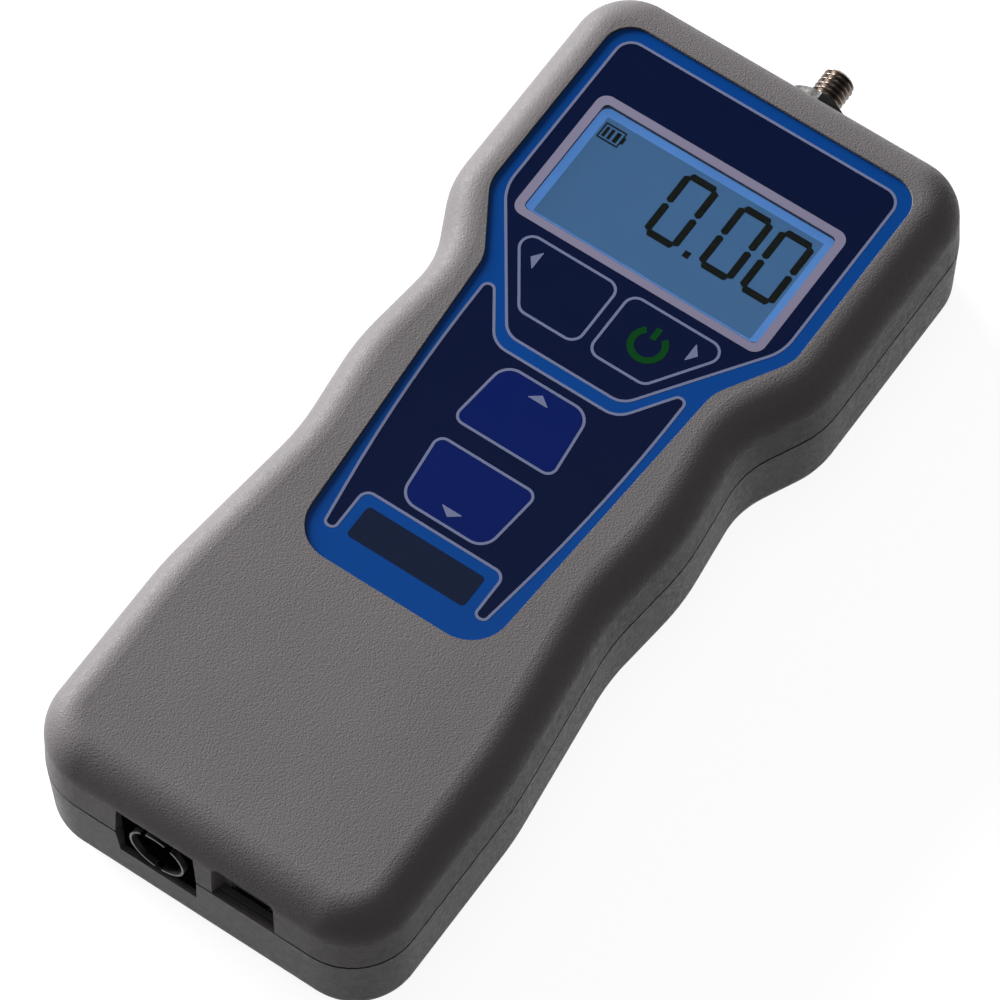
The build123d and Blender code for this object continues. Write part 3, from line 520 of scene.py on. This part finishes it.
add_piece("recess_edge", recess_edge_mesh(), looks["casing"], "housing", smooth=True)


# Printed film: two navy panels with pale border lines, and the band round the display
PRINT_SINK = 0.005
PRINT_LOW = film_high[Z] - PRINT_SINK
PANEL_THICKNESS = 0.02
LINE_THICKNESS = 0.035
LINE_HALF_WIDTH = 0.24

head_panel = rounded(
    both_sides(
        [
            (11.35, 17.5, 4.0),
            (27.5, 40.3, 8.4),
            (27.5, 75.5, 3.0),
        ]
    )
)
lower_panel = rounded(
    both_sides(
        [
            (13.7, -18.8, 1.8),
            (13.7, -27.5, 0.95),
            (15.7, -27.5, 0.95),
            (19.85, 1.2, 295.0),
            (19.85, 26.2, 1.1),
            (12.1, 14.9, 4.5),
        ]
    )
)
window_hole = box_loop(-23.3, 23.3, 38.85, 63.25, radius=1.6)
band_outer = box_loop(-24.6, 24.6, 37.3, 64.5, radius=2.1)
band_inner = box_loop(-23.0, 23.0, 38.8, 62.9, radius=1.0)
label_loop = box_loop(-11.5, 11.5, -27.3, -21.0, radius=0.8)
power_key = rounded(
    [
        (1.28, 22.5, 2.0),
        (12.24, 22.5, 2.0),
        (21.0, 35.2, 2.0),
        (1.28, 35.2, 2.0),
    ]
)
info_key = mirrored(power_key)
zero_hole = rounded(both_sides([(9.7, 0.03, 1.5), (8.7, 12.83, 3.2)]))
send_hole = rounded(both_sides([(8.7, -16.87, 3.2), (9.7, -4.07, 1.5)]))
zero_key = rounded(both_sides([(9.55, 0.03, 1.5), (8.2, 12.8, 3.1)]))
send_key = rounded(both_sides([(8.2, -16.83, 3.1), (9.55, -4.07, 1.5)]))
key_loops = {"info": info_key, "power": power_key, "zero": zero_key, "send": send_key}
KEY_LINE_SHIFT = 0.15
KEY_FIELD_SHIFT = -0.13


def panel_piece(name, loops, ink, body="housing"):
    return print_piece(name, loops, PRINT_LOW, PANEL_THICKNESS, ink, body)


def raised_piece(name, loops, ink, body="housing"):
    """A print that lies on top of the panels."""
    return print_piece(name, loops, PRINT_LOW, LINE_THICKNESS, ink, body)


def line_piece(name, loop, shift=0.0):
    """A line along a loop, moved outward by the shift."""
    outer = grown(loop, shift + LINE_HALF_WIDTH)
    inner = grown(loop, shift - LINE_HALF_WIDTH)
    return raised_piece(name, [outer, inner], line_ink)


panel_piece("head_panel", [head_panel, window_hole, info_key, power_key], navy_ink)
panel_piece("lower_panel", [lower_panel, zero_hole, send_hole], navy_ink)
line_piece("head_panel_line", head_panel)
line_piece("lower_panel_line", lower_panel)
raised_piece("display_band", [band_outer, band_inner], band_ink)
for key, loop in key_loops.items():
    line_piece(key + "_key_line", loop, KEY_LINE_SHIFT)
for key in ("zero", "send"):
    panel_piece(key + "_key_field", [grown(key_loops[key], KEY_FIELD_SHIFT)], key_ink, key + "_button")
panel_piece("label_field", [label_loop], label_ink)


# Marks on the keys: four arrowheads and the power symbol
ARROW_LENGTH = 1.5
ARROW_CORNER = 0.08
SIDE_ARROW_HALF = 1.9
LOWER_ARROW_HALF = 2.06


def arrow_piece(key, tip, way, half):
    """A triangle that points from its base to its tip along way, a unit step along X or Y."""
    tip = Vector(tip)
    way = Vector(way)
    across = Vector((-way.y, way.x)) * half
    base = tip - way * ARROW_LENGTH
    corners = [(*corner, ARROW_CORNER) for corner in (tip, base + across, base - across)]
    raised_piece(key + "_arrow", [rounded(corners, steps=3)], line_ink, key + "_button")


arrow_piece("info", (-16.5, 31.7), (-1, 0), SIDE_ARROW_HALF)
arrow_piece("power", (16.6, 31.7), (1, 0), SIDE_ARROW_HALF)
arrow_piece("zero", (0, 11.46), (0, 1), LOWER_ARROW_HALF)
arrow_piece("send", (0, -15.5), (0, -1), LOWER_ARROW_HALF)

POWER_CENTRE = (8.7, 28.85)
POWER_OUTER = 3.48
POWER_STROKE = 1.2
POWER_GAP = math.radians(38)
RING_STEPS = 36


def power_ring():
    """A ring that is open at its top."""
    span = 2 * math.pi - 2 * POWER_GAP
    loop = []
    for radius, order in ((POWER_OUTER, 1), (POWER_OUTER - POWER_STROKE, -1)):
        arc = []
        for step in range(RING_STEPS + 1):
            angle = math.pi / 2 + POWER_GAP + span * step / RING_STEPS
            x = POWER_CENTRE[X] + radius * math.cos(angle)
            y = POWER_CENTRE[Y] + radius * math.sin(angle)
            arc.append((x, y))
        loop += arc[::order]
    return loop


power_bar = box_loop(8.15, 9.25, 30.1, 32.5, radius=0.15)
raised_piece("power_ring", [power_ring()], green_ink, "power_button")
raised_piece("power_bar", [power_bar], green_ink, "power_button")


# Display: glowing edge, battery symbol and plain digits, seen through the clear window
SIGHT_X = -0.61
SIGHT_Y = 0.83
GLASS_PRINT_LOW = display_top - PRINT_SINK
GLOW_THICKNESS = 0.02
SEGMENT_THICKNESS = 0.03


def seen_at(loop):
    """Moves a loop measured in the plane of the film down onto the display glass."""
    return [(x + SIGHT_X, y + SIGHT_Y) for x, y in loop]


def segment_piece(name, loops):
    """Loops measured in the plane of the film, as dark segments of the display."""
    placed = [seen_at(loop) for loop in loops]
    print_piece(name, placed, GLASS_PRINT_LOW, SEGMENT_THICKNESS, segment_ink, "housing")


glow_outer = box_loop(-25.4, 25.4, 37.9, 64.2, radius=0.5)
glow_inner = seen_at(box_loop(-21.2, 21.8, 39.2, 61.0, radius=0.3))
print_piece(
    "display_glow", [glow_outer, glow_inner], GLASS_PRINT_LOW, GLOW_THICKNESS, glow_look, "housing"
)

BATTERY_WALL = 0.3
battery_body = box_loop(-20.8, -16.6, 56.8, 60.1, radius=0.1)
segment_piece("battery_outline", [battery_body, grown(battery_body, -BATTERY_WALL)])
battery_marks = {
    "battery_tip": (-16.6, -16.2, 57.8, 59.2),
    "battery_bar_1": (-20.2, -19.6, 57.4, 59.5),
    "battery_bar_2": (-19.2, -18.6, 57.4, 59.5),
    "battery_bar_3": (-18.1, -17.3, 57.4, 59.5),
}
for name, sides in battery_marks.items():
    segment_piece(name, [box_loop(*sides, radius=0.05)])

DIGIT_WIDTH = 6.8
DIGIT_FOOT = 45.9
DIGIT_TOP = 60.0
SEGMENT_WIDTH = 1.33
SEGMENT_POINT = 0.4
SEGMENT_GAP = 0.12
# Left edges of the three digits
digit_lefts = (-4.4, 6.4, 14.5)


def bar_loop(start, end):
    """A straight segment with pointed ends from start to end."""
    start = Vector(start)
    end = Vector(end)
    along = (end - start).normalized()
    across = Vector((-along.y, along.x)) * (SEGMENT_WIDTH / 2)
    point = along * SEGMENT_POINT
    corners = [
        start,
        start + point - across,
        end - point - across,
        end,
        end - point + across,
        start + point + across,
    ]
    return [tuple(corner) for corner in corners]


def digit_segments(left):
    """The six outer segments of a seven-segment zero."""
    half = SEGMENT_WIDTH / 2
    low_x = left + half
    high_x = left + DIGIT_WIDTH - half
    foot = DIGIT_FOOT + half
    top = DIGIT_TOP - half
    middle = (foot + top) / 2
    gap = SEGMENT_GAP
    return {
        "foot": ((low_x + gap, foot), (high_x - gap, foot)),
        "top": ((low_x + gap, top), (high_x - gap, top)),
        "left_low": ((low_x, foot + gap), (low_x, middle - gap)),
        "left_high": ((low_x, middle + gap), (low_x, top - gap)),
        "right_low": ((high_x, foot + gap), (high_x, middle - gap)),
        "right_high": ((high_x, middle + gap), (high_x, top - gap)),
    }


for number, left in enumerate(digit_lefts, 1):
    for part, (start, end) in digit_segments(left).items():
        segment_piece(f"digit_{number}_{part}", [bar_loop(start, end)])
decimal_point = box_loop(3.75, 4.95, DIGIT_FOOT, 47.2, radius=0.05)
segment_piece("decimal_point", [decimal_point])


# Measuring shaft with its helical thread, which fades out at the nut and ends in a chamfer
SHAFT_FOOT = shaft_low[Y]
SHAFT_TIP = shaft_high[Y]
SHAFT_Z = (shaft_low[Z] + shaft_high[Z]) / 2
COLLAR_RADIUS = shaft_high[X]
COLLAR_FOOT = 66.3
COLLAR_TOP = nut_low[Y]
COLLAR_CHAMFER = 0.3
STUD_RADIUS = 2.675
STUD_CHAMFER = 0.4
THREAD_FOOT = nut_high[Y] + 0.5
TIP_CHAMFER_LENGTH = 0.6
CREST_RADIUS = 3.0
ROOT_RADIUS = 2.34
TIP_RADIUS = 2.35
THREAD_PITCH = 1.0
CREST_SHARE = 0.12
ROOT_SHARE = 0.2
RUN_OUT = 0.5
ROWS_PER_TURN = 16
STEPS_AROUND = 72


def thread_radius(y, turned):
    """Radius of the thread at a station and at a share of a turn."""
    flank_share = (1 - CREST_SHARE - ROOT_SHARE) / 2
    from_crest = abs((y / THREAD_PITCH - turned) % 1.0 - 0.5)
    if from_crest < CREST_SHARE / 2:
        height = 1.0
    elif from_crest < CREST_SHARE / 2 + flank_share:
        height = 1.0 - (from_crest - CREST_SHARE / 2) / flank_share
    else:
        height = 0.0
    full = ROOT_RADIUS + (CREST_RADIUS - ROOT_RADIUS) * height
    grown_in = min(1.0, max(0.0, (y - THREAD_FOOT) / RUN_OUT))
    radius = STUD_RADIUS + (full - STUD_RADIUS) * grown_in
    into_chamfer = (y - SHAFT_TIP + TIP_CHAMFER_LENGTH) / TIP_CHAMFER_LENGTH
    if into_chamfer > 0:
        radius = min(radius, CREST_RADIUS - (CREST_RADIUS - TIP_RADIUS) * into_chamfer)
    return radius


def shaft_stations():
    """Stations along the shaft, each with a radius or None where the thread sets it."""
    stations = [
        (SHAFT_FOOT, STUD_RADIUS - STUD_CHAMFER),
        (SHAFT_FOOT + STUD_CHAMFER, STUD_RADIUS),
        (COLLAR_FOOT, STUD_RADIUS),
        (COLLAR_FOOT, COLLAR_RADIUS - COLLAR_CHAMFER),
        (COLLAR_FOOT + COLLAR_CHAMFER, COLLAR_RADIUS),
        (COLLAR_TOP - COLLAR_CHAMFER, COLLAR_RADIUS),
        (COLLAR_TOP, COLLAR_RADIUS - COLLAR_CHAMFER),
        (COLLAR_TOP, STUD_RADIUS),
    ]
    length = SHAFT_TIP - THREAD_FOOT
    rows = round(length / THREAD_PITCH * ROWS_PER_TURN)
    for row in range(rows + 1):
        stations.append((THREAD_FOOT + length * row / rows, None))
    return stations


def shaft_mesh():
    shape = bmesh.new()
    rings = []
    for y, radius in shaft_stations():
        ring = []
        for step in range(STEPS_AROUND):
            turned = step / STEPS_AROUND
            here = thread_radius(y, turned) if radius is None else radius
            angle = 2 * math.pi * turned
            spot = (here * math.sin(angle), y, SHAFT_Z + here * math.cos(angle))
            ring.append(shape.verts.new(Vector(spot) * MM))
        rings.append(ring)
    for ring, following in zip(rings, rings[1:]):
        bridge(shape, ring, following)
    shape.faces.new(rings[0])
    shape.faces.new(list(reversed(rings[-1])))
    bmesh.ops.recalc_face_normals(shape, faces=shape.faces)
    return finished_mesh("threaded_shaft", shape)


threaded_shaft = add_piece("threaded_shaft", shaft_mesh(), looks["shaft_steel"], "shaft", smooth=True)
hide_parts("measuring_shaft")


# Camera at the photograph's viewing angle. Its place is in metres and its lens in millimetres.
CAMERA_PLACE = (0.3071, -0.4209, 0.9897)
CAMERA_RIGHT = (0.8197, 0.5727, -0.0115)
CAMERA_UP = (-0.501, 0.7265, 0.4703)
CAMERA_BACK = (0.2777, -0.3797, 0.8824)
LENS = 243.8
SENSOR_WIDTH = 36.0
FARTHEST_SEEN = 10.0


def add_camera():
    data = bpy.data.cameras.new("camera")
    data.lens = LENS
    data.sensor_width = SENSOR_WIDTH
    data.clip_end = FARTHEST_SEEN
    camera = bpy.data.objects.new("camera", data)
    bpy.context.scene.collection.objects.link(camera)
    turn = Matrix((CAMERA_RIGHT, CAMERA_UP, CAMERA_BACK)).transposed().to_4x4()
    camera.matrix_world = Matrix.Translation(CAMERA_PLACE) @ turn
    bpy.context.scene.camera = camera


add_camera()


# Floor, lamps and world. The floor glows only where it is seen, mirrored or seen through glass.
FLOOR_REACH = 6.0
FLOOR_DROP = 0.0001
FLOOR_GREY = (0.22, 0.22, 0.22)
FLOOR_ROUGHNESS = 0.9
FLOOR_GLOW = 0.92
WORLD_LIGHT = 0.1
WHITE = (1, 1, 1, 1)


def add_math(tree, operation, first, second=None):
    step = tree.nodes.new("ShaderNodeMath")
    step.operation = operation
    tree.links.new(first, step.inputs[0])
    if second is not None:
        tree.links.new(second, step.inputs[1])
    return step


def make_floor_look():
    look, tree, shader = start_material("floor_white", FLOOR_GREY, FLOOR_ROUGHNESS)
    vary_roughness(tree, shader, add_noise(tree, scale=3.0), FLOOR_ROUGHNESS, spread=0.03)
    shader.inputs["Emission Color"].default_value = WHITE
    path = tree.nodes.new("ShaderNodeLightPath")
    seen = path.outputs["Is Camera Ray"]
    for kind in ("Is Glossy Ray", "Is Transmission Ray"):
        seen = add_math(tree, "MAXIMUM", seen, path.outputs[kind]).outputs[0]
    level = add_math(tree, "MULTIPLY", seen)
    level.inputs[1].default_value = FLOOR_GLOW
    tree.links.new(level.outputs[0], shader.inputs["Emission Strength"])
    return look


def add_floor():
    shape = bmesh.new()
    bmesh.ops.create_grid(shape, x_segments=8, y_segments=8, size=FLOOR_REACH)
    mesh = finished_mesh("floor", shape)
    mesh.materials.append(make_floor_look())
    floor = bpy.data.objects.new("floor", mesh)
    bpy.context.scene.collection.objects.link(floor)
    floor.location.z = cad_box[0][2] - FLOOR_DROP


def add_lamp(name, place, target, width, height, power):
    """A rectangular lamp at a place in metres, turned to a target, with its power in watts."""
    data = bpy.data.lights.new(name, "AREA")
    data.shape = "RECTANGLE"
    data.size = width
    data.size_y = height
    data.energy = power
    lamp = bpy.data.objects.new(name, data)
    bpy.context.scene.collection.objects.link(lamp)
    aim = Vector(target) - Vector(place)
    turn = aim.to_track_quat("-Z", "Y").to_matrix().to_4x4()
    lamp.matrix_world = Matrix.Translation(place) @ turn


def add_world():
    world = bpy.data.worlds.new("studio")
    bpy.context.scene.world = world
    world.use_nodes = True
    background = world.node_tree.nodes["Background"]
    background.inputs["Color"].default_value = WHITE
    background.inputs["Strength"].default_value = WORLD_LIGHT


add_floor()
add_lamp("key_lamp", (-1.25, 0.28, 0.4), target=(0, 0, 0.02), width=1.0, height=0.5, power=50.0)
add_lamp("top_lamp", (-0.2, 0.2, 1.8), target=(0, 0, 0), width=0.9, height=0.9, power=4.5)
add_world()
bpy.context.scene.view_settings.view_transform = "Standard"
